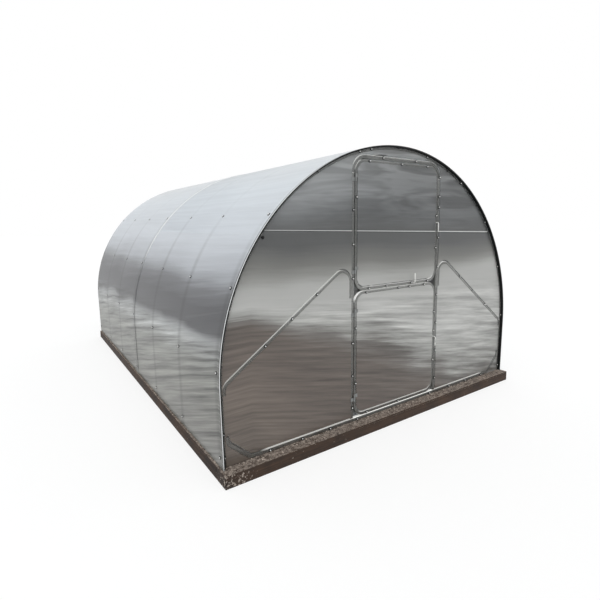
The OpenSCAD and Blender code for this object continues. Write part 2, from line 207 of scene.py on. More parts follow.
def new_material(name):
    """An empty node material and its tree."""
    made = bpy.data.materials.new(name)
    made.use_nodes = True
    made.node_tree.nodes.clear()
    return made, made.node_tree


def paint(obj, *materials):
    """Gives an object these materials, in slot order."""
    obj.data.materials.clear()
    for made in materials:
        obj.data.materials.append(made)


# ---------------------------------------------------------------- settings

class GreenhouseSheetSettings(bpy.types.PropertyGroup):
    """Sizes and colours of the twin-wall sheets."""
    flute_pitch: FloatProperty(
        name="Flute pitch", description="Distance between the ribs of the sheet, drawn at twice the real one",
        default=0.0115, min=0.004, max=0.05, unit="LENGTH")
    see_through: FloatProperty(
        name="See-through", description="Share of light that passes one face of a free sheet",
        default=0.22, min=0.0, max=0.9, subtype="FACTOR")
    tube_see_through: FloatProperty(
        name="See-through on tubes",
        description="Share of light that passes one face where the sheet lies on a tube",
        default=0.86, min=0.0, max=0.95, subtype="FACTOR")
    top_band: FloatProperty(
        name="Band above tubes", description="Clear band above each tube, through which its top face shows",
        default=0.011, min=0.0, max=0.02, unit="LENGTH")


class GreenhouseSteelSettings(bpy.types.PropertyGroup):
    """Sizes and colours of the tubes, hinges and rods."""
    tube_edge: FloatProperty(
        name="Tube edge radius", description="Outer corner radius of the square tubes",
        default=0.003, min=0.0005, max=0.006, unit="LENGTH")
    tube_zinc: FloatVectorProperty(
        name="Tube zinc", description="Colour of the galvanised tubes",
        default=colour("#747572"), size=4, subtype="COLOR")
    # painted highlight: the colour given to the faces of the tubes that look up, and the colour of their
    # painted glow
    tube_zinc_highlight: FloatVectorProperty(
        name="Upward zinc", description="Colour of the faces of the tubes that look up",
        default=colour("#f8f8f4"), size=4, subtype="COLOR")
    # strength of the painted glow: emission on the upward faces of the tubes, standing in for light through
    # the roof
    roof_glow: FloatProperty(
        name="Glow from the roof", description="Light of the upward faces, which the roof sheets let through",
        default=0.42, min=0.0, max=1.0, subtype="FACTOR")
    rod_zinc: FloatVectorProperty(
        name="Rod zinc", description="Colour of the bright zinc on the latch rods",
        default=colour("#ecece8"), size=4, subtype="COLOR")


class GreenhouseFastenerSettings(bpy.types.PropertyGroup):
    """Sizes of the self-drilling screws and their washers."""
    washer_radius: FloatProperty(
        name="Washer radius",
        description="Radius of the washer under a screw, drawn larger than a real one so that it shows",
        default=0.011, min=0.004, max=0.015, unit="LENGTH")
    head_radius: FloatProperty(
        name="Head radius", description="Radius of the hexagon head of a screw",
        default=0.0046, min=0.003, max=0.008, unit="LENGTH")
    head_height: FloatProperty(
        name="Head height", description="Height of the hexagon head of a screw",
        default=0.005, min=0.002, max=0.008, unit="LENGTH")
    roof_share: FloatProperty(
        name="Roof screws", description="Size of the roof screws as a share of the wall screws",
        default=0.95, min=0.5, max=1.5, subtype="FACTOR")


class GreenhouseTimberSettings(bpy.types.PropertyGroup):
    """Sizes and colours of the timber base and what lies on it."""
    edge_wear: FloatProperty(
        name="Edge wear", description="Width of the worn edges of the beams",
        default=0.004, min=0.001, max=0.01, unit="LENGTH")
    crumb_count: IntProperty(
        name="Mortar crumbs", description="Crumbs of dried mortar on the ledge in front of the wall",
        default=900, min=0, max=2000)
    wood_dark: FloatVectorProperty(
        name="Wet wood", description="Dark colour of the weathered timber",
        default=colour("#120a06"), size=4, subtype="COLOR")
    wood_light: FloatVectorProperty(
        name="Dry wood", description="Light colour of the weathered timber",
        default=colour("#463223"), size=4, subtype="COLOR")
    mortar: FloatVectorProperty(
        name="Mortar", description="Colour of the dried mortar",
        default=colour("#a79b90"), size=4, subtype="COLOR")


class GreenhouseStageSettings(bpy.types.PropertyGroup):
    """Camera, light and floor."""
    camera_place: FloatVectorProperty(
        name="Camera place", description="Where the camera stands",
        default=(-2.4416, -4.1713, 1.5559), size=3, subtype="TRANSLATION", unit="LENGTH")
    camera_yaw: FloatProperty(
        name="Camera yaw", description="Turn of the camera to the right of the house's length",
        default=0.58894, subtype="ANGLE")
    camera_pitch: FloatProperty(
        name="Camera pitch", description="Tilt of the camera above the level",
        default=-0.11161, subtype="ANGLE")
    camera_roll: FloatProperty(
        name="Camera roll", description="Turn of the camera about its own axis",
        default=-0.010357, subtype="ANGLE")
    lens: FloatProperty(
        name="Lens", description="Focal length of the camera in millimetres", default=24.991, min=10, max=200)
    lens_shift: FloatVectorProperty(
        name="Lens shift", description="Shift of the lens to the right and up, as a share of the picture",
        default=(0.01505, -0.05107), size=2)
    floor_tone: FloatVectorProperty(
        name="Floor", description="Colour of the floor", default=colour("#f4f4f3"), size=4, subtype="COLOR")
    floor_white: FloatProperty(
        name="White floor", description="Share of plain white in the floor outside the house",
        default=0.62, min=0.0, max=1.0, subtype="FACTOR")
    sky_strength: FloatProperty(
        name="Sky", description="Strength of the light from all sides", default=0.72, min=0.0, max=3.0)
    sun_strength: FloatProperty(
        name="Sun", description="Strength of the light from above", default=1.1, min=0.0, max=5.0)
    sun_size: FloatProperty(
        name="Sun size", description="Angle that the light from above fills",
        default=math.radians(50), min=0.0, max=math.pi, subtype="ANGLE")


# ---------------------------------------------------------------- finishes

def galvanised_steel(settings):
    """Hot-dip galvanised tube: dull grey zinc with faint crystals, with a painted highlight and a painted
    glow on the faces that look up.
    """
    made, tree = new_material("galvanised_steel_tube")
    place = node(tree, "TexCoord").outputs["Object"]
    # zinc crystals are 5 to 15 mm across
    crystals = node(tree, "TexVoronoi", {"Vector": place, "Scale": 95.0}, feature="SMOOTH_F1")
    # dull patches where water has run, 60 to 150 mm long
    patches = node(tree, "TexNoise", {"Vector": place, "Scale": 9.0, "Detail": 4.0})
    tone = node(tree, "Math", {0: crystals, 1: patches, 2: 0.15}, operation="MULTIPLY_ADD")
    zinc = node(tree, "Mix", {
        "Factor": tone, "A": toned(settings.tube_zinc, 0.72),
        "B": toned(settings.tube_zinc, 1.22)}, data_type="RGBA")
    # painted highlight: faces that look up are mixed towards the near-white highlight colour, as if lit from
    # above
    look_up = node(tree, "SeparateXYZ", {0: node(tree, "NewGeometry").outputs["Normal"]}).outputs["Z"]
    bright = node(tree, "MapRange", {"Value": look_up, "From Min": 0.1, "From Max": 0.45})
    # the painted highlight and the painted glow leave out the bent ends of the sills, beside the arch legs
    axes = node(tree, "SeparateXYZ", {0: place})
    side = node(tree, "Math", {0: axes.outputs["X"]}, operation="ABSOLUTE")
    side = node(tree, "MapRange", {
        "Value": side, "From Min": 1.17, "From Max": 1.22, "To Min": 1.0, "To Max": 0.0})
    above = node(tree, "Math", {0: axes.outputs["Z"], 1: 0.5}, operation="GREATER_THAN")
    side = node(tree, "Math", {0: side, 1: above}, operation="MAXIMUM")
    bright = node(tree, "Math", {0: bright, 1: side}, operation="MULTIPLY")
    # painted glow: emission on the upward faces stands in for the light that comes down through the roof
    # sheets
    painted_glow = node(tree, "Math", {0: bright, 1: settings.roof_glow}, operation="MULTIPLY")
    zinc = node(tree, "Mix", {
        "Factor": bright, "A": zinc.outputs["Result"],
        "B": settings.tube_zinc_highlight}, data_type="RGBA")
    rough = node(tree, "MapRange", {
        "Value": patches, "From Min": 0.3, "From Max": 0.7, "To Min": 0.34, "To Max": 0.55})
    bump = node(tree, "Bump", {"Height": crystals, "Strength": 0.06, "Distance": 0.001})
    shader = node(tree, "BsdfPrincipled", {
        "Base Color": zinc.outputs["Result"], "Metallic": 0.35, "Roughness": rough,
        "Normal": bump, "Emission Color": settings.tube_zinc_highlight,
        "Emission Strength": painted_glow})
    node(tree, "OutputMaterial", {"Surface": shader})
    return made


def plated_steel(name, tone, metallic, rough):
    """Bright zinc plate on bent rod or pressed plate: nearly white, with fine draw marks and dull spots."""
    made, tree = new_material(name)
    place = node(tree, "TexCoord").outputs["Object"]
    marks = node(tree, "TexNoise", {"Vector": place, "Scale": 260.0, "Detail": 3.0})
    spots = node(tree, "TexNoise", {"Vector": place, "Scale": 38.0, "Detail": 4.0})
    dull = node(tree, "MapRange", {"Value": spots, "From Min": 0.45, "From Max": 0.72})
    plate = node(tree, "Mix", {"Factor": dull, "A": tone, "B": toned(tone, 0.6)}, data_type="RGBA")
    gloss = node(tree, "MapRange", {
        "Value": marks, "From Min": 0.3, "From Max": 0.7,
        "To Min": rough - 0.06, "To Max": rough + 0.1})
    bump = node(tree, "Bump", {"Height": marks, "Strength": 0.05, "Distance": 0.0005})
    shader = node(tree, "BsdfPrincipled", {
        "Base Color": plate.outputs["Result"], "Metallic": metallic, "Roughness": gloss,
        "Normal": bump})
    node(tree, "OutputMaterial", {"Surface": shader})
    return made


def rubber():
    """EPDM rubber of the washers and plugs: black, matt, slightly dusty."""
    made, tree = new_material("epdm_rubber")
    place = node(tree, "TexCoord").outputs["Object"]
    dust = node(tree, "TexNoise", {"Vector": place, "Scale": 140.0, "Detail": 3.0})
    tone = node(tree, "Mix", {
        "Factor": dust, "A": colour("#060707"), "B": colour("#1c1d1d")}, data_type="RGBA")
    shader = node(tree, "BsdfPrincipled", {
        "Base Color": tone.outputs["Result"], "Roughness": 0.62, "Specular IOR Level": 0.2})
    node(tree, "OutputMaterial", {"Surface": shader})
    return made


def wall_reflection_waves(tree, axes, swing):
    """Adds wide soft waves to the painted reflection on the upper part of a wall, which is paler on the left.
    """
    place = node(tree, "TexCoord").outputs["Object"]
    paler = node(tree, "MapRange", {
        "Value": axes.outputs["X"], "From Min": -1.1, "From Max": 0.3, "To Min": 0.5, "To Max": -0.36},
        interpolation_type="SMOOTHSTEP")
    stretched = node(tree, "Mapping", {"Vector": place, "Scale": (0.9, 0.9, 5.5)})
    wave = node(tree, "TexNoise", {"Vector": stretched, "Scale": 1.0, "Detail": 2.0, "Distortion": 2.0})
    wave = node(tree, "MapRange", {
        "Value": wave, "From Min": 0.40, "From Max": 0.60, "To Min": -0.22, "To Max": 0.24})
    paler = node(tree, "Math", {0: paler, 1: wave}, operation="ADD")
    upper = node(tree, "MapRange", {"Value": axes.outputs["Z"], "From Min": 1.48, "From Max": 1.70})
    return node(tree, "Math", {0: paler, 1: upper, 2: swing}, operation="MULTIPLY_ADD")


def painted_arch_shade(tree, axes, swing):
    """Paints shade in soft stripes onto the roof sheets over the arches that lie behind them, most at the
    sides.
    """
    along = node(tree, "Math", {0: axes.outputs["Y"], 1: -FIRST_ARCH}, operation="ADD")
    along = node(tree, "Math", {0: along, 1: BAY / 2}, operation="PINGPONG")
    depth = node(tree, "MapRange", {
        "Value": axes.outputs["Z"], "From Min": 1.25, "From Max": 1.65, "To Min": -0.24, "To Max": -0.05})
    shade = node(tree, "MapRange", {
        "Value": along, "From Min": 0.006, "From Max": 0.045, "To Min": 1.0, "To Max": 0.0})
    shade = node(tree, "Math", {0: shade, 1: depth, 2: 1.0}, operation="MULTIPLY_ADD")
    return node(tree, "Math", {0: swing, 1: shade}, operation="MULTIPLY")


def front_reflection_line(tree, axes, tone):
    """Paints a reflection across the front sheets: a thin bright line, and a dark one just below it, wider to
    the right.
    """
    slant = node(tree, "Math", {
        0: axes.outputs["X"], 1: LINE_SLANT, 2: axes.outputs["Z"]}, operation="MULTIPLY_ADD")
    half = node(tree, "Math", {0: axes.outputs["X"], 1: LINE_GROWTH, 2: LINE_HALF}, operation="MULTIPLY_ADD")
    below = node(tree, "Math", {0: half, 1: 1.8, 2: slant}, operation="MULTIPLY_ADD")
    for where, line_tone in ((slant, colour("#dcdddb")), (below, colour("#3c3d3e"))):
        near = node(tree, "Math", {0: where, 1: LINE_HEIGHT, 2: half}, operation="COMPARE")
        tone = node(tree, "Mix", {
            "Factor": near, "A": tone, "B": line_tone}, data_type="RGBA").outputs["Result"]
    return tone


def lap_highlight_and_edge_shade(tree, axes, tone):
    """Paints a highlight as a white band on the lap of the roof sheets, down to hip height, and painted shade
    along their front edge.
    """
    lap_highlight = node(tree, "Math", {0: axes.outputs["Y"], 1: LAP_EDGE, 2: 0.008}, operation="COMPARE")
    fade = node(tree, "MapRange", {"Value": axes.outputs["Z"], "From Min": 1.15, "From Max": 1.4})
    lap_highlight = node(tree, "Math", {0: lap_highlight, 1: fade}, operation="MULTIPLY")
    edge_shade = node(tree, "MapRange", {
        "Value": axes.outputs["Y"], "From Min": -1.984, "From Max": -1.990, "To Max": 0.6})
    # white of the painted highlight on the lap, dark of the painted shade on the front edge
    for share, mark in ((lap_highlight, colour("#fbfcfc")), (edge_shade, colour("#2a2b2d"))):
        tone = node(tree, "Mix", {"Factor": share, "A": tone, "B": mark}, data_type="RGBA").outputs["Result"]
    return tone


def polycarbonate(name, heights, stops, strong, streaks, fan, flute_axis, see_through, shade, marks):
    """Twin-wall polycarbonate: extruded, glossy and milky, with ribs inside, and a painted reflection of its
    surroundings: bands of tone by height, with streaks across them.

    heights are where the first and the last of the stops lie. strong is the height below which the streaks
    are strong, and how strong. streaks is how often they repeat in a metre along X, Y and Z. What a sheet
    mirrors, painted into its colour, flattens along it: fan is the axis, its start, the growth of the
    streaks, the top of the tones and their growth. shade changes how strong the tone is, and marks draws on
    it."""
    settings = bpy.context.scene.greenhouse_sheet
    fan_axis, fan_start, streak_growth, tone_top, tone_growth = fan
    made, tree = new_material(name)
    place = node(tree, "TexCoord").outputs["Object"]
    axes = node(tree, "SeparateXYZ", {0: place})

    def flattened(top, growth):
        """Height, in steps below top that grow along the sheet."""
        step = node(tree, "Math", {
            0: axes.outputs[fan_axis], 1: growth, 2: 1.0 - fan_start * growth}, operation="MULTIPLY_ADD")
        below = node(tree, "Math", {0: top, 1: axes.outputs["Z"]}, operation="SUBTRACT")
        below = node(tree, "Math", {0: below, 1: step}, operation="DIVIDE")
        below = node(tree, "Math", {0: top, 1: below}, operation="SUBTRACT")
        return node(tree, "Math", {0: below, 1: axes.outputs["Z"]}, operation="MAXIMUM")

    # soft bulges between the tubes, about 0.8 m apart, bend the streaks and the bands of the painted
    # reflection
    bulge = node(tree, "TexNoise", {"Vector": place, "Scale": 1.3, "Detail": 1.5})
    lifted = node(tree, "Math", {
        0: bulge, 1: STREAK_LIFT, 2: flattened(STREAK_TOP, streak_growth)}, operation="MULTIPLY_ADD")
    level = node(tree, "CombineXYZ", {0: axes.outputs["X"], 1: axes.outputs["Y"], 2: lifted})
    stretched = node(tree, "Mapping", {"Vector": level, "Scale": streaks})
    streak = node(tree, "TexNoise", {
        "Vector": stretched, "Scale": 1.0, "Detail": 5.0, "Roughness": 0.62, "Distortion": 0.12})

    height = node(tree, "Math", {
        0: bulge, 1: BULGE_SHIFT, 2: flattened(tone_top, tone_growth)}, operation="MULTIPLY_ADD")
    height = node(tree, "Math", {0: streak, 1: STREAK_SHIFT, 2: height}, operation="MULTIPLY_ADD")
    # both patterns are one half on average
    shift = (BULGE_SHIFT + STREAK_SHIFT) / 2
    share = node(tree, "MapRange", {
        "Value": height, "From Min": heights[0] + shift, "From Max": heights[1] + shift})
    # the tone at each height is the painted reflection
    tone = node(tree, "ValToRGB", {"Fac": share}, stops=stops)

    strength = node(tree, "MapRange", {
        "Value": axes.outputs["Z"], "From Min": strong[0], "From Max": strong[0] - 0.15,
        "To Min": 0.05, "To Max": strong[1]})
    swing = node(tree, "MapRange", {
        "Value": streak, "From Min": 0.3, "From Max": 0.7, "To Min": -1.0, "To Max": 1.0})
    swing = node(tree, "Math", {0: swing, 1: strength, 2: 1.0}, operation="MULTIPLY_ADD")
    swing = shade(tree, axes, swing)
    tone = node(tree, "VectorMath", {0: tone, 1: swing}, operation="MULTIPLY")
    tone = marks(tree, axes, tone)

    # ribs at twice the real pitch, so that they show
    flutes = node(tree, "Math", {
        0: axes.outputs[flute_axis], 1: 2 * math.pi / settings.flute_pitch}, operation="MULTIPLY")
    flutes = node(tree, "Math", {0: flutes}, operation="SINE")
    bump = node(tree, "Bump", {"Height": flutes, "Strength": 0.04, "Distance": 0.001})
    bump = node(tree, "Bump", {"Height": streak, "Strength": 0.12, "Distance": 0.02, "Normal": bump})
    skin = node(tree, "BsdfPrincipled", {"Base Color": tone, "Roughness": 0.28, "IOR": 1.58, "Normal": bump})
    glow = node(tree, "BsdfTranslucent", {"Color": tone})
    milky = node(tree, "MixShader", {0: 0.12, 1: skin, 2: glow})
    clear = node(tree, "BsdfTransparent", {"Color": (1, 1, 1, 1)})
    shader = node(tree, "MixShader", {0: see_through, 1: milky, 2: clear})
    node(tree, "OutputMaterial", {"Surface": shader})
    return made


def cut_edge():
    """Sawn front edges of the roof sheets: a painted highlight, white where the sky lights them, and painted
    shade, dark, elsewhere.
    """
    made, tree = new_material("polycarbonate_cut_edge")
    place = node(tree, "TexCoord").outputs["Object"]
    axes = node(tree, "SeparateXYZ", {0: place})
    # uneven spots of about 15 mm in the painted shade
    shade_spots = node(tree, "TexNoise", {"Vector": place, "Scale": 60.0, "Detail": 3.0})
    # on the front edge the painted shade starts left of the crown, on the lap it starts at hip height
    front = node(tree, "MapRange", {"Value": axes.outputs["X"], "From Min": -0.95, "From Max": -0.55})
    lap = node(tree, "MapRange", {
        "Value": axes.outputs["Z"], "From Min": 1.35, "From Max": 1.05, "To Max": 0.62})
    at_lap = node(tree, "Math", {0: axes.outputs["Y"], 1: -1.0}, operation="GREATER_THAN")
    edge_shade = node(tree, "Mix", {"Factor": at_lap, "A": front, "B": lap})
    edge_shade = node(tree, "Math", {0: shade_spots, 1: 0.16, 2: edge_shade}, operation="MULTIPLY_ADD")
    tone = node(tree, "Mix", {
        "Factor": edge_shade, "A": colour("#f6f8f8"), "B": colour("#1c1e1f")}, data_type="RGBA")
    shader = node(tree, "BsdfPrincipled", {"Base Color": tone.outputs["Result"], "Roughness": 0.5})
    node(tree, "OutputMaterial", {"Surface": shader})
    return made


def timber_finish(name, along):
    """Old softwood beam, rough sawn and soaked dark: long grain, checks and pale mortar dust on top."""
    settings = bpy.context.scene.greenhouse_timber
    made, tree = new_material(name)
    place = node(tree, "TexCoord").outputs["Object"]
    # growth rings show every 3 to 6 mm across the beam and run for about a metre along it
    scale = (2.0, 150.0, 150.0) if along == "X" else (150.0, 2.0, 150.0)
    grain_place = node(tree, "Mapping", {"Vector": place, "Scale": scale})
    grain = node(tree, "TexNoise", {
        "Vector": grain_place, "Scale": 1.0, "Detail": 6.0, "Roughness": 0.65, "Distortion": 0.4})
    wet = node(tree, "TexNoise", {"Vector": place, "Scale": 5.0, "Detail": 5.0, "Roughness": 0.6})
    share = node(tree, "Math", {0: grain, 1: wet}, operation="ADD")
    share = node(tree, "MapRange", {"Value": share, "From Min": 0.72, "From Max": 1.3})
    wood = node(tree, "Mix", {
        "Factor": share, "A": settings.wood_dark, "B": settings.wood_light}, data_type="RGBA")
    # dried mortar dust lies on what looks up, in blotches of 10 to 40 mm and flecks of 2 mm
    blotch = node(tree, "TexNoise", {"Vector": place, "Scale": 44.0, "Detail": 6.0, "Roughness": 0.75})
    fleck = node(tree, "TexNoise", {"Vector": place, "Scale": 420.0, "Detail": 3.0})
    dust = node(tree, "Math", {0: blotch, 1: fleck}, operation="ADD")
    dust = node(tree, "MapRange", {"Value": dust, "From Min": 0.92, "From Max": 1.08})
    look_up = node(tree, "SeparateXYZ", {0: node(tree, "NewGeometry").outputs["Normal"]}).outputs["Z"]
    top = node(tree, "MapRange", {"Value": look_up, "From Min": 0.5, "From Max": 0.9, "To Max": 0.85})
    dust = node(tree, "Math", {0: dust, 1: top}, operation="MULTIPLY")
    # splashes that ran down the sides are rare, and thickest at the left front corner
    splash = node(tree, "TexNoise", {"Vector": place, "Scale": 55.0, "Detail": 5.0, "Roughness": 0.7})
    corner = node(tree, "VectorMath", {0: place, 1: (-1.45, -2.0575, 0.03)}, operation="DISTANCE")
    corner = node(tree, "MapRange", {
        "Value": corner.outputs["Value"], "From Min": 0.04, "From Max": 0.20, "To Min": 0.13, "To Max": 0.0})
    splash = node(tree, "Math", {0: splash, 1: corner}, operation="ADD")
    splash = node(tree, "MapRange", {"Value": splash, "From Min": 0.66, "From Max": 0.70, "To Max": 0.9})
    dust = node(tree, "Math", {0: dust, 1: splash}, operation="MAXIMUM")
    wood = node(tree, "Mix", {
        "Factor": dust, "A": wood.outputs["Result"], "B": settings.mortar}, data_type="RGBA")
    bump = node(tree, "Bump", {"Height": grain, "Strength": 0.5, "Distance": 0.003})
    bump = node(tree, "Bump", {"Height": fleck, "Strength": 0.3, "Distance": 0.002, "Normal": bump})
    shader = node(tree, "BsdfPrincipled", {
        "Base Color": wood.outputs["Result"], "Roughness": 0.82, "Normal": bump})
    node(tree, "OutputMaterial", {"Surface": shader})
    return made


def mortar_finish():
    """Dried mortar and gravel: matt, pale grey to pink, each crumb a little different."""
    settings = bpy.context.scene.greenhouse_timber
    made, tree = new_material("dried_mortar")
    place = node(tree, "TexCoord").outputs["Object"]
    # the tone changes every 14 mm, from crumb to crumb, and the grit is 2 mm
    crumb = node(tree, "TexNoise", {"Vector": place, "Scale": 70.0, "Detail": 2.0})
    share = node(tree, "MapRange", {"Value": crumb, "From Min": 0.35, "From Max": 0.65})
    tone = node(tree, "Mix", {
        "Factor": share, "A": toned(settings.mortar, 0.4),
        "B": toned(settings.mortar, 1.5)}, data_type="RGBA")
    grit = node(tree, "TexNoise", {"Vector": place, "Scale": 600.0, "Detail": 2.0})
    bump = node(tree, "Bump", {"Height": grit, "Strength": 0.4, "Distance": 0.001})
    shader = node(tree, "BsdfPrincipled", {
        "Base Color": tone.outputs["Result"], "Roughness": 0.9, "Normal": bump})
    node(tree, "OutputMaterial", {"Surface": shader})
    return made


# ---------------------------------------------------------------- modelling

def select_only(*objects):
    """Selects these objects alone and makes the first one active."""
    bpy.ops.object.select_all(action="DESELECT")
    for obj in objects:
        obj.select_set(True)
    bpy.context.view_layer.objects.active = objects[0]


def merged_copy(cad_node, name):
    """A copy of a CAD node with its loose triangles merged into flat faces."""
    obj = bpy.data.objects.new(name, frame["nodes"][cad_node].data.copy())
    bpy.context.scene.collection.objects.link(obj)
    select_only(obj)
    bpy.ops.object.mode_set(mode="EDIT")
    bpy.ops.mesh.select_all(action="SELECT")
    bpy.ops.mesh.remove_doubles(threshold=MERGE)
    bpy.ops.mesh.dissolve_limited(angle_limit=math.radians(0.05))
    bpy.ops.object.mode_set(mode="OBJECT")
    return obj


def round_edges(obj, width, segments):
    """Rounds the sharp edges of an object and smooths what bends gently."""
    bevel = obj.modifiers.new("round edges", "BEVEL")
    bevel.width = width
    bevel.segments = segments
    bevel.limit_method = "ANGLE"
    bevel.angle_limit = math.radians(40)
    select_only(obj)
    bpy.ops.object.modifier_apply(modifier=bevel.name)
    bpy.ops.object.shade_smooth_by_angle(angle=math.radians(35))


def cut(obj, cutter, operation):
    """Applies one boolean of obj with cutter."""
    tool = obj.modifiers.new("cut", "BOOLEAN")
    tool.operation = operation
    tool.object = cutter
    tool.solver = "EXACT"
    select_only(obj)
    bpy.ops.object.modifier_apply(modifier=tool.name)


def sheet_over_tubes(sheet, tubes, outward, band, free, on_tube):
    """A wall sheet as one closed shell, whose faces over its tubes take a finish of their own.

    What lies close behind a twin-wall sheet shows through it, and what is further off blurs. Each tube is
    moved out through the sheet to cut it, once at its own height and once a band higher."""
    rest = merged_copy(sheet, f"{sheet}_skin")
    parts = []
    for tube in tubes:
        for raised in (0.0, band):
            cutter = merged_copy(tube, "cutter")
            cutter.data.transform(Matrix.Translation((0, outward * CUT_REACH, raised)))
            part = bpy.data.objects.new("over_tube", rest.data.copy())
            bpy.context.scene.collection.objects.link(part)
            cut(part, cutter, "INTERSECT")
            cut(rest, cutter, "DIFFERENCE")
            bpy.data.objects.remove(cutter)
            parts.append(part)
    paint(rest, free)
    for part in parts:
        paint(part, on_tube)
    select_only(rest, *parts)
    bpy.ops.object.join()
    bpy.ops.object.mode_set(mode="EDIT")
    bpy.ops.mesh.select_all(action="SELECT")
    bpy.ops.mesh.remove_doubles(threshold=MERGE)
    bpy.ops.mesh.select_mode(type="FACE")
    bpy.ops.mesh.select_all(action="DESELECT")
    bpy.ops.mesh.select_interior_faces()
    bpy.ops.mesh.delete(type="FACE")
    bpy.ops.object.mode_set(mode="OBJECT")
    return rest


def facing(point, out):
    """The matrix that stands a piece on a point, with its Z along the outward direction."""
    return Matrix.Translation(point) @ Vector(out).to_track_quat("Z", "X").to_matrix().to_4x4()


def disc(name, sides, radius, depth, low):
    """A cylinder or prism standing on Z = low, with softened rims."""
    bpy.ops.object.select_all(action="DESELECT")
    bpy.ops.mesh.primitive_cylinder_add(vertices=sides, radius=radius, depth=depth)
    obj = bpy.context.object
    obj.name = name
    obj.data.transform(Matrix.Translation((0, 0, low + depth / 2)))
    round_edges(obj, 0.0005, 2)
    return obj


# ---------------------------------------------------------------- operators

class GREENHOUSE_OT_steel(bpy.types.Operator):
    """Tubes with rounded edges, hinges and rods in their zinc finishes"""
    bl_idname = "greenhouse.steel"
    bl_label = "Steel tubes, hinges and rods"

    def execute(self, context):
        settings = context.scene.greenhouse_steel
        zinc = galvanised_steel(settings)
        for name in HOUSE_TUBES + LEAF_TUBES:
            piece = merged_copy(name, f"{name}_tube")
            round_edges(piece, settings.tube_edge, 3)
            paint(piece, zinc)
            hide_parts(name)
            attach(piece, frame["nodes"][name]["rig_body"])
        hinge_plate = plated_steel("zinc_plated_hinge_steel", colour("#858786"), 0.4, 0.38)
        for name in HINGES:
            paint(frame["nodes"][name], hinge_plate)
        rod = plated_steel("zinc_plated_rod", tuple(settings.rod_zinc), 0.25, 0.32)
        for name in RODS:
            paint(frame["nodes"][name], rod)
        return {"FINISHED"}


class GREENHOUSE_OT_wall_sheets(bpy.types.Operator):
    """Sheets of the end walls and the door leaves, clear where they lie on tubes"""
    bl_idname = "greenhouse.wall_sheets"
    bl_label = "Wall and door sheets"

    def execute(self, context):
        settings = context.scene.greenhouse_sheet
        low, high = 0.085, 2.107
        # painted reflection of the ground, the horizon and the sky in the end walls: a tone for each height
        reflected_tones = [
            (0.085, "#6b625a"), (0.40, "#7b7067"), (0.80, "#6b615a"), (0.93, "#706760"), (0.98, "#7d7975"),
            (1.01, "#a6a6a2"), (1.06, "#c9c9c6"), (1.14, "#c0c0bd"), (1.20, "#a3a39f"), (1.27, "#83837f"),
            (1.40, "#5f6060"), (1.50, "#5c5d5d"), (1.60, "#6c6e6f"), (1.75, "#868889"), (2.00, "#959797"),
            (2.06, "#b4b6b6"), (2.107, "#bcbebe"),
        ]
        stops = [((z - low) / (high - low), colour(tone)) for z, tone in reflected_tones]
        finishes = [
            polycarbonate(name, (low, high), stops, strong=(1.05, 0.36), streaks=(1.7, 1.7, 42.0),
                          fan=("X", -1.27, 0.2243, 1.15, 1.9), flute_axis="X", see_through=share,
                          shade=wall_reflection_waves, marks=front_reflection_line)
            for name, share in (("twin_wall_polycarbonate_wall", settings.see_through),
                                ("twin_wall_polycarbonate_on_tube", settings.tube_see_through))
        ]
        for name, (tubes, body) in WALL_SHEETS.items():
            outward = 1 if name == "back_panel" else -1
            piece = sheet_over_tubes(name, tubes, outward, settings.top_band, *finishes)
            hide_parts(name)
            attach(piece, body)
        return {"FINISHED"}


class GREENHOUSE_OT_roof_sheets(bpy.types.Operator):
    """The two bent roof sheets"""
    bl_idname = "greenhouse.roof_sheets"
    bl_label = "Roof sheets"

    def execute(self, context):
        settings = context.scene.greenhouse_sheet
        low, high = 0.085, 2.116
        # painted reflection in the roof: pale grey low down, a dark band near 0.9 to 1.1 m, pale bluish sky
        # at the top
        reflected_tones = [
            (0.085, "#9c9c98"), (0.25, "#8a8984"), (0.50, "#8f8f89"), (0.68, "#949590"), (0.80, "#b4b6b5"),
            (0.86, "#a2a4a5"), (0.90, "#595a5d"), (1.04, "#5a5b5f"), (1.14, "#7c7e82"), (1.25, "#bfc3c9"),
            (1.42, "#dce1e7"), (1.80, "#e7edf2"), (2.116, "#eceff1"),
        ]
        stops = [((z - low) / (high - low), colour(tone)) for z, tone in reflected_tones]
        finish = polycarbonate(
            "twin_wall_polycarbonate_roof", (low, high), stops, strong=(0.92, 0.75),
            streaks=(14.0, 0.75, 38.0), fan=("Y", FIRST_ARCH, 0.3525, 1.1, 0.16), flute_axis="Y",
            see_through=settings.see_through, shade=painted_arch_shade, marks=lap_highlight_and_edge_shade)
        edge = cut_edge()
        for name in ("roof_sheet_front", "roof_sheet_back"):
            piece = merged_copy(name, f"{name}_skin")
            select_only(piece)
            bpy.ops.object.shade_smooth_by_angle(angle=math.radians(35))
            paint(piece, finish, edge)
            for face in piece.data.polygons:
                face.material_index = int(face.normal.y < -0.9)
            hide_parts(name)
            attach(piece, "house")
        return {"FINISHED"}


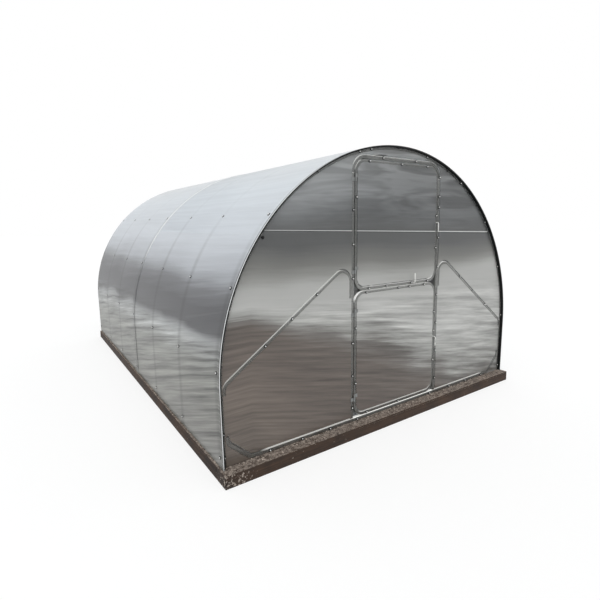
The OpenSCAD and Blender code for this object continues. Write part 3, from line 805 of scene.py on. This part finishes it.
class GREENHOUSE_OT_shade_strip(bpy.types.Operator):
    """Painted shade as a black strip under the front overhang of the roof, and the plug on the end of a
    purlin
    """
    bl_idname = "greenhouse.seal"
    bl_label = "Painted shade strip and plug"

    def execute(self, context):
        layers = []
        for inset in SHADE_STRIP_INSETS:
            # the same bend, further in
            layer = merged_copy("roof_sheet_front", "front_shade_strip")
            inwards = (ROOF_RADIUS - inset) / ROOF_RADIUS
            layer.data.transform(Matrix.Translation((0, 0, ARCH_CENTRE * (1 - inwards)))
                                 @ Matrix.Diagonal((inwards, 1, inwards, 1)))
            bpy.ops.object.select_all(action="DESELECT")
            bpy.ops.mesh.primitive_cube_add(size=1)
            slice_box = context.object
            slice_box.data.transform(Matrix.Translation((0, SHADE_STRIP_MIDDLE, 1.0))
                                     @ Matrix.Diagonal((4, SHADE_STRIP_WIDTH, 4, 1)))
            cut(layer, slice_box, "INTERSECT")
            bpy.data.objects.remove(slice_box)
            layers.append(layer)
        select_only(*layers)
        bpy.ops.object.join()
        shade_strip = layers[0]
        plug = disc("purlin_plug", 20, PLUG_RADIUS, PLUG_HEIGHT, 0.0)
        plug.data.transform(facing((PLUG_PLACE[0], FRONT_FACE, PLUG_PLACE[1]), (0, -1, 0)))
        # the strip of painted shade takes the same black rubber as the plug
        black = rubber()
        for piece in (shade_strip, plug):
            paint(piece, black)
            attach(piece, "house")
        return {"FINISHED"}


class GREENHOUSE_OT_screws(bpy.types.Operator):
    """Self-drilling screws with rubber washers, on the walls, the leaves and the roof"""
    bl_idname = "greenhouse.screws"
    bl_label = "Screws"

    def execute(self, context):
        settings = context.scene.greenhouse_fastener
        washer = disc("washer", 20, settings.washer_radius, WASHER_HEIGHT, 0.0)
        paint(washer, rubber())
        head = disc("head", 6, settings.head_radius, settings.head_height, WASHER_HEIGHT)
        paint(head, plated_steel("zinc_plated_screw", colour("#fafaf8"), 0.1, 0.3))
        select_only(washer, head)
        bpy.ops.object.join()
        screw = washer

        turns = [math.radians(turn) for turn in ARCH_SCREWS]
        round_arch = [
            (ARCH_RADIUS * math.cos(turn), ARCH_CENTRE + ARCH_RADIUS * math.sin(turn)) for turn in turns
        ]
        walls = round_arch + FRONT_SCREWS
        self.drive(screw, "front_wall_screws", "house",
                   [((x, FRONT_FACE, z), (0, -1, 0)) for x, z in walls])
        self.drive(screw, "back_wall_screws", "house",
                   [((x, BACK_FACE, z), (0, 1, 0)) for x, z in walls if abs(x) > BACK_SCREWS_FROM])
        for leaf, places in LEAF_SCREWS.items():
            self.drive(screw, f"{leaf}_screws", leaf, [((x, FRONT_FACE, z), (0, -1, 0)) for x, z in places])

        roof = []
        for i, y in enumerate(ARCH_PLACES):
            radius = ROOF_RADIUS + (LAP_RISE if i == len(ARCHES) // 2 else 0.0)
            for turn in ROOF_SCREWS:
                out = Vector((math.cos(math.radians(turn)), 0, math.sin(math.radians(turn))))
                roof.append((out * radius + Vector((0, y, ARCH_CENTRE)), out))
            for side in (-1, 1):
                out = Vector((side * math.cos(LEG_LEAN), 0, -math.sin(LEG_LEAN)))
                foot = Vector((side * -math.sin(LEG_LEAN), 0, -math.cos(LEG_LEAN))) * LEG_SCREW_DROP
                roof.append((out * radius + foot + Vector((0, y, ARCH_CENTRE)), out))
        self.drive(screw, "roof_screws", "house", roof, settings.roof_share)
        bpy.data.objects.remove(screw)
        return {"FINISHED"}

    @staticmethod
    def drive(screw, name, body, places, share=1.0):
        """One piece of screws, at this share of their size, at each (point, outward direction)."""
        copies = []
        for point, out in places:
            made = bpy.data.objects.new(name, screw.data.copy())
            bpy.context.scene.collection.objects.link(made)
            made.data.transform(facing(point, out) @ Matrix.Scale(share, 4))
            copies.append(made)
        select_only(*copies)
        bpy.ops.object.join()
        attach(copies[0], body)


class GREENHOUSE_OT_timber(bpy.types.Operator):
    """The four beams of the base, with worn edges"""
    bl_idname = "greenhouse.timber"
    bl_label = "Timber base"

    def execute(self, context):
        settings = context.scene.greenhouse_timber
        finishes = {axis: timber_finish(f"weathered_softwood_{axis.lower()}", axis) for axis in "XY"}
        for name, axis in (("base_front", "X"), ("base_back", "X"), ("base_left", "Y"), ("base_right", "Y")):
            piece = merged_copy(name, f"{name}_beam")
            round_edges(piece, settings.edge_wear, 3)
            if name == "base_front":
                self.split(piece, settings.edge_wear)
            paint(piece, finishes[axis])
            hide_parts(name)
            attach(piece, "house")
        return {"FINISHED"}

    @staticmethod
    def split(beam, depth):
        """A drying crack along the right half of the front beam, just under its top edge."""
        chance = random.Random(4)
        low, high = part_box("base_front")
        end = high[0] - 0.01
        bpy.ops.object.select_all(action="DESELECT")
        bpy.ops.mesh.primitive_cube_add(size=1)
        cutter = bpy.context.object
        bpy.ops.object.mode_set(mode="EDIT")
        bpy.ops.mesh.subdivide(number_cuts=40)
        bpy.ops.object.mode_set(mode="OBJECT")
        cutter.data.transform(Matrix.Translation(((CRACK_START + end) / 2, low[1], high[2] - CRACK_DROP))
                              @ Matrix.Diagonal((end - CRACK_START, 2 * depth, CRACK_HEIGHT, 1)))
        drops = {}
        for vertex in cutter.data.vertices:
            vertex.co.z += drops.setdefault(
                round(vertex.co.x, 3), chance.uniform(-CRACK_WANDER, CRACK_WANDER))
        cut(beam, cutter, "DIFFERENCE")
        bpy.data.objects.remove(cutter)


class GREENHOUSE_OT_mortar(bpy.types.Operator):
    """Crumbs of dried mortar on the ledges of the base"""
    bl_idname = "greenhouse.mortar"
    bl_label = "Mortar crumbs"

    def execute(self, context):
        settings = context.scene.greenhouse_timber
        chance = random.Random(11)
        bpy.ops.object.select_all(action="DESELECT")
        bpy.ops.mesh.primitive_ico_sphere_add(subdivisions=1, radius=1)
        crumb = context.object
        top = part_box("base_front")[1][2]
        copies = []
        for i in range(settings.crumb_count):
            # a radius of 1.4 to 7.6 mm; most crumbs are small and lie close to the wall
            size = 0.0014 + 0.0062 * chance.random() ** 2.2
            across = chance.uniform(0.003, 0.078) * chance.random() ** 0.5
            # one in five lies on the narrow ledge of the left beam
            if i % 5:
                place = (chance.uniform(-1.49, 1.49), FRONT_FACE - across, top + size * 0.3)
            else:
                place = (-1.4925 - across * 0.12, chance.uniform(-2.0, 2.0), top + size * 0.3)
            made = bpy.data.objects.new("mortar_crumbs", crumb.data.copy())
            context.scene.collection.objects.link(made)
            stretch = [size * chance.uniform(0.6, 1.3) for _ in range(2)]
            stretch += [size * chance.uniform(0.4, 0.8), 1]
            turn = Matrix.Rotation(chance.uniform(0, 6.28), 4, "Z")
            made.data.transform(Matrix.Translation(place) @ turn @ Matrix.Diagonal(stretch))
            copies.append(made)
        select_only(*copies)
        bpy.ops.object.join()
        bpy.data.objects.remove(crumb)
        paint(copies[0], mortar_finish())
        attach(copies[0], "house")
        return {"FINISHED"}


class GREENHOUSE_OT_stage(bpy.types.Operator):
    """Pale floor, soft light and the camera"""
    bl_idname = "greenhouse.stage"
    bl_label = "Stage, light and camera"

    def execute(self, context):
        settings = context.scene.greenhouse_stage
        context.scene.view_settings.view_transform = "Standard"
        self.set_camera(context.scene, settings)
        self.lay_floor(context, settings)
        self.light(context.scene, settings)
        return {"FINISHED"}

    @staticmethod
    def set_camera(scene, settings):
        """The camera at its place, turned by yaw, pitch and roll."""
        camera = bpy.data.cameras.new("camera")
        camera.lens = settings.lens
        camera.sensor_width = 36.0
        camera.shift_x, camera.shift_y = settings.lens_shift
        camera.clip_end = 200.0
        seat = bpy.data.objects.new("camera", camera)
        scene.collection.objects.link(seat)
        yaw, pitch = settings.camera_yaw, settings.camera_pitch
        forward = Vector((
            math.sin(yaw) * math.cos(pitch), math.cos(yaw) * math.cos(pitch), math.sin(pitch)))
        roll = Quaternion((0, 0, 1), settings.camera_roll)
        seat.rotation_mode = "QUATERNION"
        seat.rotation_quaternion = forward.to_track_quat("-Z", "Y") @ roll
        seat.location = settings.camera_place
        scene.camera = seat

    def lay_floor(self, context, settings):
        """A wide matt floor with a share of plain white, which stops 60 mm inside the house's outline."""
        bpy.ops.object.select_all(action="DESELECT")
        bpy.ops.mesh.primitive_plane_add(size=120.0, location=(0, 0, 0))
        floor = context.object
        floor.name = "studio_floor"
        made, tree = new_material("pale_studio_floor")
        matt = node(tree, "BsdfDiffuse", {"Color": settings.floor_tone})
        # a little over white, so that the far floor meets the background without a line
        white = node(tree, "Emission", {"Color": (1, 1, 1, 1), "Strength": 1.1})
        place = node(tree, "TexCoord").outputs["Object"]
        place = node(tree, "VectorMath", {0: place}, operation="ABSOLUTE")
        axes = node(tree, "SeparateXYZ", {0: place})
        past_x, past_y = [
            node(tree, "Math", {0: axes.outputs[axis], 1: half - 0.06}, operation="GREATER_THAN")
            for axis, half in zip("XY", cad_box[1])
        ]
        outside = node(tree, "Math", {0: past_x, 1: past_y}, operation="MAXIMUM")
        share = node(tree, "Math", {0: self.seen_rays(tree), 1: outside}, operation="MULTIPLY")
        share = node(tree, "Math", {0: share, 1: settings.floor_white}, operation="MULTIPLY")
        shader = node(tree, "MixShader", {0: share, 1: matt, 2: white})
        node(tree, "OutputMaterial", {"Surface": shader})
        paint(floor, made)

    def light(self, scene, settings):
        """Even light from all sides in front of a white background, and a wide soft sun."""
        world = bpy.data.worlds.new("studio")
        world.use_nodes = True
        tree = world.node_tree
        tree.nodes.clear()
        sky = node(tree, "Background", {"Color": (0.97, 0.985, 1.0, 1.0), "Strength": settings.sky_strength})
        white = node(tree, "Background", {"Color": (1, 1, 1, 1), "Strength": 1.0})
        shader = node(tree, "MixShader", {0: self.seen_rays(tree), 1: sky, 2: white})
        node(tree, "OutputWorld", {"Surface": shader})
        scene.world = world

        sun = bpy.data.lights.new("sky_sun", "SUN")
        sun.energy = settings.sun_strength
        sun.angle = settings.sun_size
        seat = bpy.data.objects.new("sky_sun", sun)
        seat.rotation_euler = (math.radians(38), 0, math.radians(-35))
        scene.collection.objects.link(seat)

    @staticmethod
    def seen_rays(tree):
        """One where a ray comes from the camera, a reflection or a see-through surface."""
        path = node(tree, "LightPath")
        seen = node(tree, "Math", {
            0: path.outputs["Is Camera Ray"], 1: path.outputs["Is Glossy Ray"]}, operation="MAXIMUM")
        return node(tree, "Math", {0: seen, 1: path.outputs["Is Transmission Ray"]}, operation="MAXIMUM")


OPERATORS = (
    GREENHOUSE_OT_stage, GREENHOUSE_OT_steel, GREENHOUSE_OT_wall_sheets, GREENHOUSE_OT_roof_sheets,
    GREENHOUSE_OT_shade_strip, GREENHOUSE_OT_timber, GREENHOUSE_OT_mortar, GREENHOUSE_OT_screws,
)


class GREENHOUSE_PT_panel(bpy.types.Panel):
    """Lists the steps that dress the greenhouse."""
    bl_idname = "GREENHOUSE_PT_panel"
    bl_label = "Greenhouse"
    bl_space_type = "VIEW_3D"
    bl_region_type = "UI"
    bl_category = "Greenhouse"

    def draw(self, context):
        for operator in OPERATORS:
            self.layout.operator(operator.bl_idname)


SETTINGS = {
    "greenhouse_sheet": GreenhouseSheetSettings,
    "greenhouse_steel": GreenhouseSteelSettings,
    "greenhouse_fastener": GreenhouseFastenerSettings,
    "greenhouse_timber": GreenhouseTimberSettings,
    "greenhouse_stage": GreenhouseStageSettings,
}


def register():
    for made in (*SETTINGS.values(), *OPERATORS, GREENHOUSE_PT_panel):
        bpy.utils.register_class(made)
    for name, made in SETTINGS.items():
        setattr(bpy.types.Scene, name, PointerProperty(type=made))


def unregister():
    for name in SETTINGS:
        delattr(bpy.types.Scene, name)
    for made in reversed((*SETTINGS.values(), *OPERATORS, GREENHOUSE_PT_panel)):
        bpy.utils.unregister_class(made)


def main():
    register()
    for operator in OPERATORS:
        group, name = operator.bl_idname.split(".")
        getattr(getattr(bpy.ops, group), name)()


if __name__ == "__main__":
    main()
